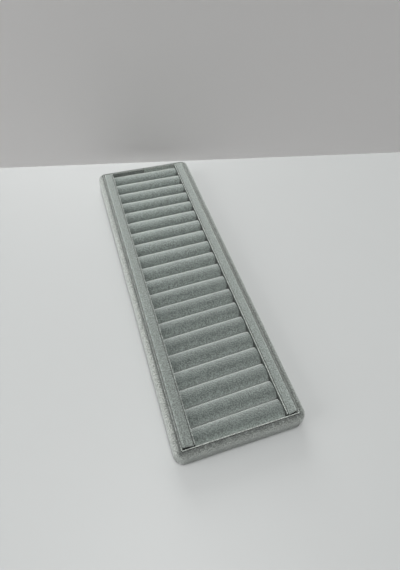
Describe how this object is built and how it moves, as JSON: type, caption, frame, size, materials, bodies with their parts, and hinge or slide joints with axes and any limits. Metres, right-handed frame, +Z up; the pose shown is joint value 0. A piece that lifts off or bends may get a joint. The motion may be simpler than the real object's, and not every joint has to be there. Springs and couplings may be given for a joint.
{
  "type": "ring display tray",
  "caption": "Long flat velvet display tray with a padded round rim and a lift-out insert of soft padded rolls side by side, whose slots hold finger rings upright.",
  "frame": {"origin": "on the table under the middle of the tray", "axes": "+Z up out of the tray, +Y along its length to the far end in the picture, +X across it to the right"},
  "size_m": [0.114, 0.35, 0.02],
  "materials": {
    "rim_velvet": "short-pile grey velvet stretched over a thin pad, matt with a soft pale sheen at the edges",
    "liner_velvet": "short-pile grey velvet glued over thin card, matt",
    "strip_velvet": "short-pile grey velvet glued over flat board and card, matt, a little paler than the rolls",
    "roll_velvet": "short-pile grey velvet over soft foam, matt with mottled nap",
    "grey_board": "plain grey card, bare",
    "fibre_board": "plain hardboard, bare",
    "base_felt": "thin dark grey felt, glued on flat"
  },
  "bodies": {
    "tray": {"base_felt": "base_felt", "base_board": "fibre_board", "rail_near": "fibre_board", "rail_far": "fibre_board", "rail_left": "fibre_board", "rail_right": "fibre_board", "rim_cover": "rim_velvet", "liner_band": "liner_velvet"},
    "insert": {"insert_board": "grey_board", "strip_left": "strip_velvet", "strip_right": "strip_velvet", "divider_left": "strip_velvet", "divider_right": "strip_velvet", "roll_01": "roll_velvet", "roll_02": "roll_velvet", "roll_03": "roll_velvet", "roll_04": "roll_velvet", "roll_05": "roll_velvet", "roll_06": "roll_velvet", "roll_07": "roll_velvet", "roll_08": "roll_velvet", "roll_09": "roll_velvet", "roll_10": "roll_velvet", "roll_11": "roll_velvet", "roll_12": "roll_velvet", "roll_13": "roll_velvet", "roll_14": "roll_velvet", "roll_15": "roll_velvet", "roll_16": "roll_velvet", "roll_17": "roll_velvet", "roll_18": "roll_velvet", "roll_19": "roll_velvet", "roll_20": "roll_velvet"}
  },
  "joints": [
    {"name": "insert_lift", "type": "slide", "parent": "tray", "child": "insert", "axis": [0, 0, 1], "range_m": [0, 0.03]}
  ]
}
